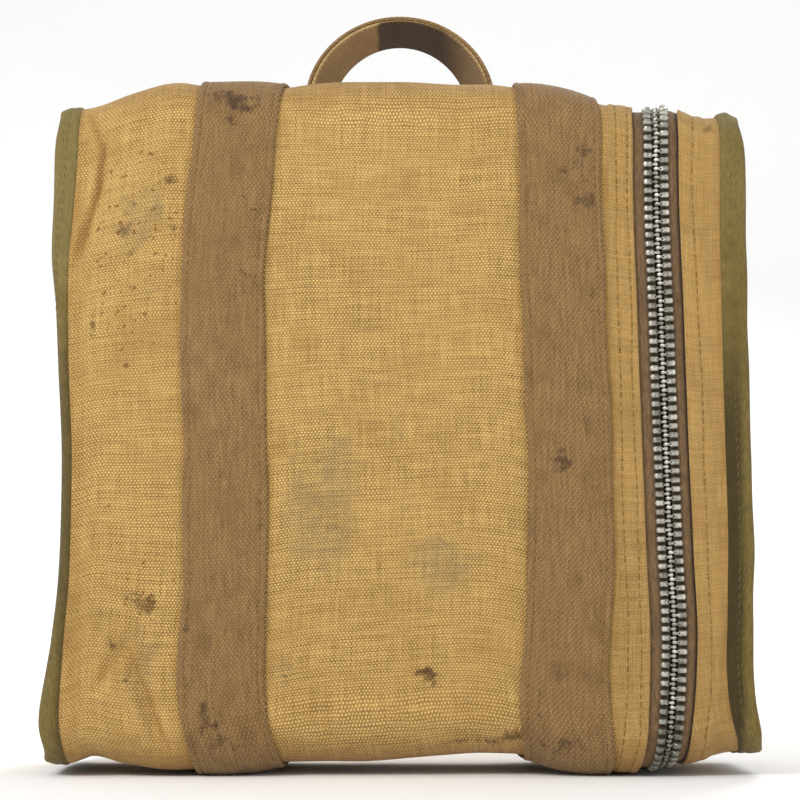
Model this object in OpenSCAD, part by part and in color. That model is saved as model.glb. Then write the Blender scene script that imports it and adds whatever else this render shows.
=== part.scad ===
// Boxy canvas mail pouch with webbing bands, a top handle and a zip-round lid on its right end.
// +Z is up, the front faces -Y, and the pouch stands on its two bands at Z = 0.

/* [Pouch] */
// Width over the two bound end seams
overall_w = 268; // [250:1:300]
// Depth at the ends, front to back
end_depth = 100; // [90:1:120]
// Height of the canvas at the ends
end_h = 253; // [230:1:270]
// How much higher the middle of the top stands than its ends
crown = 10; // [2:1:14]
// How much the front and the back each swell in the middle
side_swell = 5; // [1:1:8]
// Corner radius of the end outline along the top
top_r = 15; // [12:1:20]
// Corner radius of the end outline along the bottom
bottom_r = 18; // [14:1:24]
// Thickness of the canvas
canvas_t = 1; // [0.7:0.1:1.2]

/* [Bound end seams] */
// Width of the seam allowance that stands out past each end panel
flange_w = 9; // [7:0.5:12]
// Thickness of the binding tape
tape_t = 0.6; // [0.4:0.1:0.8]

/* [Bands and handle] */
// Width of the cotton webbing
webbing_w = 32; // [28:1:34]
// Thickness of the webbing bands
band_t = 1.8; // [1.4:0.1:2.4]
// Distance of each band's centre line from the middle of the pouch
band_x = 63.5; // [60:0.5:68]
// Thickness of each of the two webbing layers of the handle
handle_t = 1.4; // [1:0.1:1.8]
// Outer radius of the handle's arch
handle_r = 38; // [34:1:40]
// How far the centre of the arch lies below the top canvas
arch_sink = 4; // [2:0.5:6]
// How far the handle leans back as it stands
handle_lean = 10; // [0:1:15]

/* [Zip] */
// Centre line of the zip, measured from the middle of the pouch
zip_x = 99; // [98:0.5:103]
// Gap between the two canvas edges along the zip
zip_gap = 18.6; // [17:0.2:20]
// Pitch of the teeth on one side
tooth_pitch = 3.43; // [3.2:0.01:3.6]
// Width of the closed chain
chain_w = 10; // [9:0.1:10.5]
// Where the chain ends on the top and the bottom, behind the middle of the pouch
zip_end_y = 33; // [30:1:34]
// Length of the slider
slider_l = 20; // [18:0.5:22]
// Width of the slider
slider_w = 13.4; // [12.5:0.1:14]
// Length of the pull tab, from its hinge to its tip
pull_l = 34; // [28:1:38]

/* [Hidden] */

// Air left between cloth layers that are sewn together
layer_gap = 0.2;
base_z = band_t + layer_gap;
end_top_z = base_z + end_h;
mid_top_z = end_top_z + crown;
half_w = overall_w / 2;
binding_edge_gap = 0.2;
wrap_edge_x = half_w - tape_t - binding_edge_gap;
panel_x = half_w - flange_w - tape_t;

// The cloth is straight near the ends and swells between them
straight_from_x = 92;
swell_len = 66;
swell_steps = 8;
arc_steps = 6;

// Layers are named by their lift, the distance outwards from the outer face of the canvas
canvas_low = -canvas_t;
panel_rim_high = canvas_low - layer_gap;
panel_rim_low = panel_rim_high - canvas_t;
tape_low = canvas_low - layer_gap - tape_t;
tape_high = canvas_low - layer_gap;
chain_lift = (tape_low + tape_high) / 2;

zip_left_x = zip_x - zip_gap / 2;
// Clearance between the pouch and the lid along the fold line at the back
fold_gap = 0.4;
// Where the canvas is whole again behind the ends of the zip
whole_y = 37;
// Half of the space between the two zip tapes
tape_half_gap = 1.9;
zip_tape_w = 16;

// Tooth, seen along the chain: a head across the centre line and two prongs over the tape
head_reach = 1.1;
head_end = 1.7;
head_half_h = 1.2;
prong_half_h = 1.6;
slot_half_h = 0.4;
tooth_t = 1.3;

// Arc lengths of the chain from its end under the pouch, round the front, to its end on the top
bottom_run = zip_end_y + end_depth / 2 - bottom_r;
bottom_arc = (bottom_r + chain_lift) * PI / 2;
front_run = end_h - bottom_r - top_r;
top_arc = (top_r + chain_lift) * PI / 2;
top_run = zip_end_y + end_depth / 2 - top_r;
top_run_from = bottom_run + bottom_arc + front_run + top_arc;
chain_len = top_run_from + top_run;
stop_l = 3;
first_tooth = 2 * stop_l;

// Slider, with its middle at the rear end of its travel
slider_end_gap = 3;
slider_y = zip_end_y - slider_end_gap - slider_l / 2;
slider_z = end_top_z + chain_lift;
plate_low = 1.9;
plate_t = 1.2;
plate_high = plate_low + plate_t;
neck_w = 3;
neck_l = 5;
neck_setback = 0.5;
neck_clearance = 1;
neck_from_y = slider_y + slider_l / 2 - neck_l - neck_setback;
last_tooth = top_run_from + neck_from_y - neck_clearance - top_r + end_depth / 2;
tooth_count = floor((last_tooth - first_tooth) / tooth_pitch);
flange_t = 1;
flange_slot = 0.8;
// How far solids that belong together sink into each other
overlap = 0.1;
hinge_rise = plate_high + 1.5;
bail_w = 2.4;
bail_l = 11;
bail_bar_t = 1.1;
bail_inner_h = 3;
pull_w = 9;
pull_t = 1.4;
pull_window_w = 4.4;
pull_window_l = 9;
pull_pin_r = 0.8;
pull_pin_setback = 1;
pull_droop = 3.5;
pull_hole_r = 1.8;

// Handle
handle_mid_gap = 0.1;
handle_inner_r = handle_r - handle_t - handle_mid_gap;
arch_z = mid_top_z + layer_gap - arch_sink;
// Height of the line that the arch leans about, above the top canvas
pivot_rise = 9;
handle_pivot_z = mid_top_z + pivot_rise;
// The feet end below this line and the arch starts above it
foot_top = 5;
arch_from = 1;
sewn_end_x = band_x;
sewn_end_from_x = sqrt(handle_r * handle_r - arch_sink * arch_sink) - 2 * handle_t - handle_mid_gap;
sewn_end_t = 1;

canvas_colour = "#c7a268";
webbing_colour = "#947248";
binding_colour = "#716239";
zip_tape_colour = "#7b6140";
metal_colour = "#8f8c84";

// Places along X where the cloth bends as it swells, left to right
swell_places = concat(
    [for (i = [0:swell_steps]) swell_len * i / swell_steps - straight_from_x],
    [for (i = [swell_steps:-1:0]) straight_from_x - swell_len * i / swell_steps]
);

function smooth01(t) = let(c = min(max(t, 0), 1)) c * c * (3 - 2 * c);
function fullness(x) = smooth01((straight_from_x - abs(x)) / swell_len);
function half_depth(x) = end_depth / 2 + side_swell * fullness(x);
function top_z(x) = end_top_z + crown * fullness(x);

// One corner of the outline at a distance r from its centre, as points in the Y-Z plane
function corner(y, z, r, from_angle) = [
    for (i = [0:arc_steps]) let(a = from_angle + 90 * i / arc_steps) [y + r * cos(a), z + r * sin(a)]
];

// The whole outline of the pouch at x, lifted outwards, anticlockwise seen from +X
function outline_at(x, lift) = let(d = half_depth(x), t = top_z(x)) concat(
    corner(d - top_r, t - top_r, top_r + lift, 0),
    corner(top_r - d, t - top_r, top_r + lift, 90),
    corner(bottom_r - d, base_z + bottom_r, bottom_r + lift, 180),
    corner(d - bottom_r, base_z + bottom_r, bottom_r + lift, 270)
);

// A cloth tube that follows the swell of the pouch between two places along X
module sleeve(from_x, to_x, low, high) {
    n = 4 * (arc_steps + 1);
    xs = concat([from_x], [for (x = swell_places) if (x > from_x && x < to_x) x], [to_x]);
    rows = len(xs) - 1;
    points = [
        for (x = xs) each concat(
            [for (p = outline_at(x, high)) [x, p[0], p[1]]],
            [for (p = outline_at(x, low)) [x, p[0], p[1]]]
        )
    ];
    faces = concat(
        [for (i = [0:rows - 1], k = [0:n - 1]) let(a = i * 2 * n, b = a + 2 * n, m = (k + 1) % n)
            each [[a + k, a + m, b + k], [a + m, b + m, b + k]]],
        [for (i = [0:rows - 1], k = [0:n - 1]) let(a = (i * 2 + 1) * n, b = a + 2 * n, m = (k + 1) % n)
            each [[a + k, b + k, a + m], [a + m, b + k, b + m]]],
        [for (k = [0:n - 1]) let(m = (k + 1) % n) each [[k, k + n, m], [m, k + n, m + n]]],
        [for (k = [0:n - 1]) let(e = rows * 2 * n, m = (k + 1) % n)
            each [[e + k, e + m, e + k + n], [e + m, e + m + n, e + k + n]]]
    );
    polyhedron(points = points, faces = faces, convexity = 6);
}

// The end outline as a flat shape, with true round corners
module end_outline(lift) {
    d = end_depth / 2;
    polygon([
        [d - top_r, end_top_z + lift], [top_r - d, end_top_z + lift],
        [-d - lift, end_top_z - top_r], [-d - lift, base_z + bottom_r],
        [bottom_r - d, base_z - lift], [d - bottom_r, base_z - lift],
        [d + lift, base_z + bottom_r], [d + lift, end_top_z - top_r]
    ]);
    for (side = [-1, 1]) {
        translate([side * (d - top_r), end_top_z - top_r]) circle(r = top_r + lift, $fn = 64);
        translate([side * (d - bottom_r), base_z + bottom_r]) circle(r = bottom_r + lift, $fn = 64);
    }
}

// Moves a flat Y-Z shape to its place along X and gives it a length
module along_x(from_x, to_x) {
    translate([from_x, 0, 0])
        rotate([90, 0, 90])
            linear_extrude(height = to_x - from_x)
                children();
}

// A straight cloth ring in the end zone, open inside
module ring(from_x, to_x, low, high) {
    along_x(from_x, to_x) {
        difference() {
            end_outline(high);
            end_outline(low);
        }
    }
}

// Everything from the front to a place along Y
module in_front_of(y) {
    translate([-overall_w, y - 2 * overall_w, -overall_w])
        cube([2 * overall_w, 2 * overall_w, 3 * overall_w]);
}

// The slot in the canvas that the zip closes, from its rear end forwards
module zip_slot() {
    translate([zip_left_x, whole_y - 2 * overall_w, -overall_w])
        cube([zip_gap, 2 * overall_w, 3 * overall_w]);
}

module body_wrap() {
    color(canvas_colour)
        difference() {
            sleeve(-wrap_edge_x, zip_x - fold_gap, canvas_low, 0);
            zip_slot();
        }
}

module lid_wrap() {
    color(canvas_colour)
        difference() {
            ring(zip_x + fold_gap, wrap_edge_x, canvas_low, 0);
            zip_slot();
        }
}

// An end panel is a canvas plate whose edge is turned out to lie inside the wrap's edge
module end_panel() {
    along_x(panel_x - canvas_t, panel_x)
        end_outline(panel_rim_high);
    ring(panel_x - canvas_t / 2, wrap_edge_x, panel_rim_low, panel_rim_high);
}

module left_end_panel() {
    color(canvas_colour)
        mirror([1, 0, 0])
            end_panel();
}

module lid_end_panel() {
    color(canvas_colour)
        end_panel();
}

// Folded tape over the two canvas edges
module binding() {
    low = panel_rim_low - layer_gap - tape_t;
    high = layer_gap + tape_t;
    inner_from_x = panel_x + layer_gap;
    difference() {
        ring(inner_from_x, half_w, low, high);
        ring(inner_from_x - canvas_t, half_w - tape_t, low + tape_t, high - tape_t);
    }
}

module left_binding() {
    color(binding_colour)
        mirror([1, 0, 0])
            binding();
}

module right_binding() {
    color(binding_colour)
        binding();
}

module band(side) {
    color(webbing_colour)
        difference() {
            sleeve(side * band_x - webbing_w / 2, side * band_x + webbing_w / 2, layer_gap, band_t + layer_gap);
            mirror([side > 0 ? 0 : 1, 0, 0])
                sewn_end(canvas_low, sewn_end_t + 2 * layer_gap, sewn_end_x + layer_gap, webbing_w + 2 * layer_gap);
        }
}

module left_band() {
    band(-1);
}

module right_band() {
    band(1);
}

// A stretch of one layer of the handle's arch between two heights above the pivot
module arch_layer(outer_r, from_h, to_h) {
    span = 2 * handle_r;
    rotate([90, 0, 0])
        linear_extrude(height = webbing_w, center = true)
            intersection() {
                translate([0, arch_z - handle_pivot_z])
                    difference() {
                        circle(r = outer_r, $fn = 96);
                        circle(r = outer_r - handle_t, $fn = 96);
                    }
                translate([-span / 2, from_h])
                    square([span, to_h - from_h]);
            }
}

module handle_layer(outer_r) {
    color(webbing_colour)
        translate([0, 0, handle_pivot_z])
            rotate([-handle_lean, 0, 0])
                arch_layer(outer_r, arch_from, handle_r);
}

module handle_outer_webbing() {
    handle_layer(handle_r);
}

module handle_inner_webbing() {
    handle_layer(handle_inner_r);
}

// The foot of the handle, which rises from its sewn end under the band
module handle_end(side) {
    foot_low = mid_top_z + layer_gap - handle_pivot_z;
    color(webbing_colour) {
        intersection() {
            translate([0, 0, handle_pivot_z]) {
                arch_layer(handle_r, foot_low, -foot_top);
                arch_layer(handle_inner_r, foot_low, -foot_top);
            }
            translate([side > 0 ? 0 : -2 * handle_r, -webbing_w, 0])
                cube([2 * handle_r, 2 * webbing_w, 2 * mid_top_z]);
        }
        mirror([side > 0 ? 0 : 1, 0, 0])
            sewn_end(layer_gap, layer_gap + sewn_end_t, sewn_end_x, webbing_w);
    }
}

// Flat end of the handle or the space for it, between two lifts along the slope of the top canvas
module sewn_end(low, high, to_x, width) {
    xs = concat([sewn_end_from_x], [for (x = swell_places) if (x > sewn_end_from_x && x < to_x) x], [to_x]);
    n = len(xs) - 1;
    rotate([90, 0, 0])
        linear_extrude(height = width, center = true)
            polygon(concat(
                [for (i = [0:n]) [xs[i], top_z(xs[i]) + low]],
                [for (i = [n:-1:0]) [xs[i], top_z(xs[i]) + high]]
            ));
}

module handle_left_end() {
    handle_end(-1);
}

module handle_right_end() {
    handle_end(1);
}

// One zip tape, which runs under, up the front and over the top
module zip_tape(from_x, to_x) {
    color(zip_tape_colour)
        intersection() {
            ring(from_x, to_x, tape_low, tape_high);
            in_front_of(zip_end_y);
        }
}

module body_zip_tape() {
    zip_tape(zip_x - tape_half_gap - zip_tape_w, zip_x - tape_half_gap);
}

module lid_zip_tape() {
    zip_tape(zip_x + tape_half_gap, zip_x + tape_half_gap + zip_tape_w);
}

// Place and heading of the chain at a length from its end under the pouch, as [y, z, angle]
function chain_at(s) = let(
        d = end_depth / 2,
        s1 = s - bottom_run,
        s2 = s1 - bottom_arc,
        s3 = s2 - front_run,
        s4 = s3 - top_arc,
        low_r = bottom_r + chain_lift,
        high_r = top_r + chain_lift
    )
    s1 < 0 ? [zip_end_y - s, base_z - chain_lift, 0]
    : s2 < 0 ? let(a = 90 * s1 / bottom_arc)
        [bottom_r - d - low_r * sin(a), base_z + bottom_r - low_r * cos(a), a]
    : s3 < 0 ? [-d - chain_lift, base_z + bottom_r + s2, 90]
    : s4 < 0 ? let(a = 90 * s3 / top_arc)
        [top_r - d - high_r * cos(a), end_top_z - top_r + high_r * sin(a), 90 + a]
    : [top_r - d + s4, end_top_z + chain_lift, 180];

// One tooth at the origin: its head points to -X and the chain runs along Z
module tooth() {
    outer = chain_w / 2;
    linear_extrude(height = tooth_t, center = true)
        polygon([
            [-head_reach, -head_half_h], [head_end, -head_half_h], [head_end, -prong_half_h],
            [outer, -prong_half_h], [outer, -slot_half_h], [head_end, -slot_half_h],
            [head_end, slot_half_h], [outer, slot_half_h], [outer, prong_half_h],
            [head_end, prong_half_h], [head_end, head_half_h], [-head_reach, head_half_h]
        ]);
}

// The teeth of one side between two lengths along the chain; side is 1 for the lid
module teeth(side, from_s, to_s) {
    shift = side > 0 ? tooth_pitch / 2 : 0;
    color(metal_colour)
        for (i = [0:tooth_count - 1]) {
            s = first_tooth + shift + i * tooth_pitch;
            if (s >= from_s && s < to_s) {
                p = chain_at(s);
                translate([zip_x, p[0], p[1]])
                    rotate([90 - p[2], 0, 0])
                        mirror([side > 0 ? 0 : 1, 0, 0])
                            tooth();
            }
        }
}

module body_zip_teeth() {
    teeth(-1, 0, top_run_from);
}

module body_top_run_teeth() {
    teeth(-1, top_run_from, chain_len);
}

module lid_zip_teeth() {
    teeth(1, 0, top_run_from);
}

module lid_top_run_teeth() {
    teeth(1, top_run_from, chain_len);
}

// A metal clip over the edge of one tape, beside the slider's neck when the zip is closed
module top_stop(side) {
    clip_w = 3;
    slot_from_x = tape_half_gap - overlap;
    color(metal_colour)
        translate([zip_x, neck_from_y + neck_clearance, end_top_z + chain_lift])
            mirror([side > 0 ? 0 : 1, 0, 0])
                difference() {
                    translate([neck_w / 2 + layer_gap, 0, -prong_half_h])
                        cube([clip_w, stop_l, 2 * prong_half_h]);
                    translate([slot_from_x, -stop_l, -slot_half_h])
                        cube([clip_w, 3 * stop_l, 2 * slot_half_h]);
                }
}

module body_top_stop() {
    top_stop(-1);
}

module lid_top_stop() {
    top_stop(1);
}

// A metal box past the ends of the two tapes, under the pouch
module bottom_stop() {
    stop_w = 6.4;
    stop_gap = 0.3;
    color(metal_colour)
        translate([zip_x - stop_w / 2, zip_end_y + stop_gap, base_z - chain_lift - prong_half_h])
            cube([stop_w, stop_l, 2 * prong_half_h]);
}

// Outline of a slider plate, wide at the nose that leads when the zip closes
module slider_plate_outline() {
    nose_r = 3.5;
    tail_r = 2.5;
    tail_w = slider_w - 2.4;
    waist_y = -1;
    half_l = slider_l / 2;
    polygon([
        [-slider_w / 2, half_l - nose_r], [nose_r - slider_w / 2, half_l],
        [slider_w / 2 - nose_r, half_l], [slider_w / 2, half_l - nose_r],
        [slider_w / 2, waist_y], [tail_w / 2, tail_r - half_l], [tail_w / 2 - tail_r, -half_l],
        [tail_r - tail_w / 2, -half_l], [-tail_w / 2, tail_r - half_l], [-slider_w / 2, waist_y]
    ]);
    for (side = [-1, 1])
        translate([side * (slider_w / 2 - nose_r), half_l - nose_r]) circle(r = nose_r, $fn = 32);
}

module zip_slider() {
    flange_from_y = -1;
    flange_l = slider_l / 2 - 3;
    color(metal_colour)
        translate([zip_x, slider_y, slider_z]) {
            for (side = [-1, 1]) {
                translate([0, 0, side > 0 ? plate_low : -plate_high])
                    linear_extrude(height = plate_t)
                        slider_plate_outline();
                for (edge = [-1, 1])
                    translate([edge * (slider_w / 2 - flange_t / 2) - flange_t / 2, flange_from_y,
                        side > 0 ? flange_slot : -plate_low - overlap])
                        cube([flange_t, flange_l, plate_low - flange_slot + overlap]);
            }
            translate([-neck_w / 2, neck_from_y - slider_y, -plate_low - overlap])
                cube([neck_w, neck_l, 2 * (plate_low + overlap)]);
        }
}

// The bridge on the slider that holds the pull tab's pin down
module slider_bail() {
    post_l = 1.2;
    foot_gap = 0.02;
    color(metal_colour)
        translate([zip_x - bail_w / 2, slider_y - bail_l / 2, slider_z + plate_high + foot_gap]) {
            for (y = [0, bail_l - post_l])
                translate([0, y, 0])
                    cube([bail_w, post_l, bail_inner_h + overlap]);
            translate([0, 0, bail_inner_h])
                cube([bail_w, bail_l, bail_bar_t]);
        }
}

module pull_tab() {
    tip_r = pull_w / 2;
    color(metal_colour)
        translate([zip_x, slider_y, slider_z + hinge_rise])
            rotate([pull_droop, 0, 0]) {
                rotate([0, 90, 0])
                    cylinder(r = pull_pin_r, h = pull_w - pull_pin_setback, center = true, $fn = 24);
                difference() {
                    translate([0, 0, -pull_t / 2])
                        linear_extrude(height = pull_t) {
                            translate([-pull_w / 2, tip_r - pull_l]) square([pull_w, pull_l - tip_r]);
                            translate([0, tip_r - pull_l]) circle(r = tip_r, $fn = 48);
                        }
                    translate([-pull_window_w / 2, -pull_window_l, -pull_t])
                        cube([pull_window_w, pull_window_l + pull_w, 2 * pull_t]);
                    translate([0, tip_r - pull_l, -pull_t])
                        cylinder(r = pull_hole_r, h = 2 * pull_t, $fn = 32);
                }
            }
}

body_wrap();
left_end_panel();
left_binding();
left_band();
right_band();
handle_outer_webbing();
handle_inner_webbing();
handle_left_end();
handle_right_end();
body_zip_tape();
body_zip_teeth();
body_top_run_teeth();
body_top_stop();
bottom_stop();
lid_wrap();
lid_end_panel();
right_binding();
lid_zip_tape();
lid_zip_teeth();
lid_top_run_teeth();
lid_top_stop();
zip_slider();
slider_bail();
pull_tab();
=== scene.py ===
import math

import bmesh
import bpy
import numpy as np
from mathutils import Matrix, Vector


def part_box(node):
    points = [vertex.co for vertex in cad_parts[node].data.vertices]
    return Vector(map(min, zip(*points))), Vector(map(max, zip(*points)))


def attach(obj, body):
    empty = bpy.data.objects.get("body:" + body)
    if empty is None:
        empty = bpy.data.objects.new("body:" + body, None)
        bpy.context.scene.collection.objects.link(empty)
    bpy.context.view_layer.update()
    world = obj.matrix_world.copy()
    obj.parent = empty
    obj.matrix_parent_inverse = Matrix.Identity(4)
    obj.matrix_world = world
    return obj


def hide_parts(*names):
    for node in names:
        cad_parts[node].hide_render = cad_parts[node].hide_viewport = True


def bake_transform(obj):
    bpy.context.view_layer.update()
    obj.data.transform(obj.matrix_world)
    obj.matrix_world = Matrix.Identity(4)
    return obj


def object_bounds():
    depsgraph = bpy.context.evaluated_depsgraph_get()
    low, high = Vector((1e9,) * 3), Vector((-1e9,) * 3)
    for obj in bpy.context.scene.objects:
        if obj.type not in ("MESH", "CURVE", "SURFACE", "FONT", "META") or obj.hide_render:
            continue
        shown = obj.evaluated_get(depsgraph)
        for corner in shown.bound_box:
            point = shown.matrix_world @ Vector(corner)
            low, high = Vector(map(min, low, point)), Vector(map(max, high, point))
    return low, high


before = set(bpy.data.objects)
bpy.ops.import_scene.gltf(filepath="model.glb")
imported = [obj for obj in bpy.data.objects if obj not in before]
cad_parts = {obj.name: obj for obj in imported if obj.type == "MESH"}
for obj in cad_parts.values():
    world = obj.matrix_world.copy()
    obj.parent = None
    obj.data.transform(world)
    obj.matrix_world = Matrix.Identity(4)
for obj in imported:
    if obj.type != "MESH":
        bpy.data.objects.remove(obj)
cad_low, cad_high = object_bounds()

MM = 0.001

# ---------------------------------------------------------------- sizes, most of them read from the frame


def low(node):
    """The lowest corner of a CAD node's box."""
    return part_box(node)[0]


def high(node):
    """The highest corner of a CAD node's box."""
    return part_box(node)[1]


CANVAS_T = 1.0 * MM
BASE_Z = low("body_wrap").z
END_TOP_Z = high("lid_wrap").z
MID_TOP_Z = high("body_wrap").z
END_DEPTH = high("lid_wrap").y
SEAM_U = low("lid_end_panel").x + CANVAS_T
FLANGE_W = cad_high.x - SEAM_U
ZIP_X = (low("zip_slider").x + high("zip_slider").x) / 2
CHAIN_LIFT = high("lid_zip_tape").z - END_TOP_Z - 0.3 * MM
ZIP_END_Y = high("lid_zip_tape").y
SLIT_END_Y = 37 * MM
BAND_W = high("left_band").x - low("left_band").x
BAND_T = BASE_Z - low("left_band").z - 0.2 * MM
TOP_R, BOTTOM_R = 15 * MM, 18 * MM
BODY_SLIT, LID_SLIT = 9.0 * MM, 8.7 * MM  # from the middle of the zip to each hem
HEM_LIFT = 0.75 * MM
STITCH, STITCH_LENGTH = 3.4 * MM, 3.15 * MM
HANDLE_W = 32 * MM
TAIL = np.array([1.5, 4.0, 7.6]) * MM  # columns of the canvas inside the bound seam

# The loop round the pouch is measured from the middle of the bottom, forwards, up the front,
# over the top and down the back. Its parts have these lengths at the ends of the pouch.
LOOP_PARTS = np.array([
    END_DEPTH - BOTTOM_R, BOTTOM_R * math.pi / 2, END_TOP_Z - BASE_Z - TOP_R - BOTTOM_R,
    TOP_R * math.pi / 2, 2 * (END_DEPTH - TOP_R), TOP_R * math.pi / 2,
    END_TOP_Z - BASE_Z - TOP_R - BOTTOM_R, BOTTOM_R * math.pi / 2, END_DEPTH - BOTTOM_R,
])
LOOP_STARTS = np.concatenate([[0.0], np.cumsum(LOOP_PARTS)])
LOOP = LOOP_STARTS[-1]
FRONT_S, TOP_S, BACK_S, BACK_LOW_S = LOOP_STARTS[[2, 4, 6, 7]]


def round_the_loop(rows):
    """Evenly spaced places along the whole loop, as a column."""
    return np.linspace(0, LOOP, rows, endpoint=False)[:, None]


def front(z):
    """Place along the loop at a height on the front."""
    return FRONT_S + z - BASE_Z - BOTTOM_R


def on_top(y):
    """Place along the loop on the top, at a distance behind the middle."""
    return TOP_S + END_DEPTH - TOP_R + y


def under(y):
    """Place along the loop under the pouch, at a distance behind the middle."""
    return -y


# ---------------------------------------------------------------- curves


def smooth01(t):
    """Eases from 0 to 1 as t goes from 0 to 1."""
    c = np.clip(t, 0, 1)
    return c * c * (3 - 2 * c)


def bump(x, centre, width):
    """A soft hill, 1 at its centre."""
    return np.exp(-(((x - centre) / width) ** 2))


def through(x, *knots):
    """A smooth curve through (place, value) knots, level beyond both ends."""
    places, values = np.array(knots, float).T
    slopes = np.gradient(values, places)
    slopes[[0, -1]] = 0
    x = np.clip(x, places[0], places[-1])
    i = np.clip(np.searchsorted(places, x, side="right") - 1, 0, len(places) - 2)
    h = places[i + 1] - places[i]
    t = (x - places[i]) / h
    return (
        (2 * t**3 - 3 * t**2 + 1) * values[i] + (t**3 - 2 * t**2 + t) * h * slopes[i]
        + (3 * t**2 - 2 * t**3) * values[i + 1] + (t**3 - t**2) * h * slopes[i + 1]
    )


# ---------------------------------------------------------------- the filled shape of the cloth


def fullness(u):
    """How much the filling pushes the cloth out: all of it between the bands, none at the ends."""
    return smooth01((94 * MM - np.abs(u)) / (70 * MM))


def top_drop(u):
    """How far the top hangs below its highest part."""
    return MM * through(
        u / MM, (-124, 9.3), (-104, 3.8), (-88, -0.2), (-66, 0.0), (-50, -1.1), (-38, -2.2), (0, -1.8),
        (20, -1.6), (42, -1.9), (54, -0.2), (72, 4.4), (87, 9.0), (92, 10.0), (108, 10.0), (114, 12.8),
        (124, 13.0),
    )


def bottom_rise(u):
    """How far the bottom hangs clear of where its straps rest."""
    return MM * through(
        u / MM, (-124, 2.0), (-115, 5.0), (-104, 2.8), (-90, 0.6), (-62, 0.0), (-42, 1.6), (0, 4.4),
        (30, 5.8), (44, 4.6), (62, 0.6), (92, 0.4), (106, 3.4), (124, 6.5),
    )


def end_x(side, z):
    """Where the two end seams run: they lean in towards the top and kick out at the bottom."""
    left = ((2, -125.6), (20, -127.2), (50, -126), (72, -124.4), (90, -124), (130, -124.1), (150, -125.2),
            (175, -125.9), (193, -126.0), (215, -124.2), (250, -122.6))
    right = ((2, 129.0), (11, 127.4), (22, 124.2), (38, 122.4), (60, 122.8), (90, 123.4), (125, 122.8),
             (150, 122.3), (200, 121.7), (250, 122.0))
    return MM * through(z / MM, *(left if side < 0 else right))


def across(u, z):
    """Place along X of a place across the cloth."""
    left, right = end_x(-1, z), end_x(1, z)
    return (left + right) / 2 + u * (right - left) / (2 * SEAM_U)


def uncross(x, z):
    """Place across the cloth of a place along X."""
    left, right = end_x(-1, z), end_x(1, z)
    return (x - (left + right) / 2) * 2 * SEAM_U / (right - left)


def shape(u, s):
    """A point of the smooth filled shape, with u across the pouch and s round the loop."""
    u, s = np.broadcast_arrays(np.asarray(u, float), np.asarray(s, float))
    s = s % LOOP
    part = np.clip(np.searchsorted(LOOP_STARTS, s, side="right") - 1, 0, 8)
    f = (s - LOOP_STARTS[part]) / LOOP_PARTS[part]
    full = fullness(u)
    depth = END_DEPTH + 1.0 * MM * full
    top_z = MID_TOP_Z - top_drop(u)
    top_r = TOP_R + 7 * MM * full
    bottom_r = BOTTOM_R + 8 * MM * full
    belly = 4.0 * MM * full * np.sin(math.pi * f) ** 0.8
    base_z = BASE_Z + bottom_rise(u)
    wall = top_z - top_r - base_z - bottom_r
    a = f * math.pi / 2
    sin, cos = np.sin(a), np.cos(a)
    y = np.choose(part, [
        -f * (depth - bottom_r),
        bottom_r - depth - bottom_r * sin,
        -depth - belly,
        top_r - depth - top_r * cos,
        (2 * f - 1) * (depth - top_r),
        depth - top_r + top_r * sin,
        depth + belly,
        depth - bottom_r + bottom_r * cos,
        (1 - f) * (depth - bottom_r),
    ])
    z = np.choose(part, [
        base_z,
        base_z + bottom_r * (1 - cos),
        base_z + bottom_r + f * wall,
        top_z - top_r * (1 - sin),
        top_z + 0.9 * MM * full * np.sin(math.pi * f),
        top_z - top_r * (1 - cos),
        top_z - top_r - f * wall,
        base_z + bottom_r * (1 - sin),
        base_z,
    ])
    return np.stack([across(u, z), y, z], -1)


def signed_s(s):
    """The place along the loop, counted back below zero behind the middle of the bottom."""
    s = s % LOOP
    return np.where(s > LOOP - 60 * MM, s - LOOP, s)


def band_u(side, s):
    """Where the middle of a band runs across the pouch. Both bands lean inwards at the edges."""
    left = ((-58, -61), (-20, -60.5), (32, -60.6), (70, -64.2), (110, -65.3), (215, -65.2), (260, -64.4),
            (292, -62.0), (310, -59.4), (345, -59.6), (385, -60.5), (440, -64), (600, -63))
    right = ((-58, 61), (-20, 60.5), (32, 60.4), (70, 63.6), (110, 64.4), (215, 64.0), (260, 62.6),
             (292, 61.6), (310, 60.6), (345, 60.8), (385, 61.5), (440, 64), (600, 63))
    return MM * through(signed_s(s) / MM, *(left if side < 0 else right))


def fold(u, s, start, end, depth, width):
    """A crease in the cloth along a line, with the ridge that it pushes up beside it."""
    along_u, along_s = end[0] - start[0], end[1] - start[1]
    length = math.hypot(along_u, along_s)
    t = ((u - start[0]) * along_u + (s - start[1]) * along_s) / length**2
    off = ((u - start[0]) * along_s - (s - start[1]) * along_u) / length
    valley = bump(off, 0, width) - 0.55 * bump(off, 1.7 * width, width)
    return -depth * valley * np.sin(math.pi * np.clip(t, 0, 1)) ** 0.7


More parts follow.
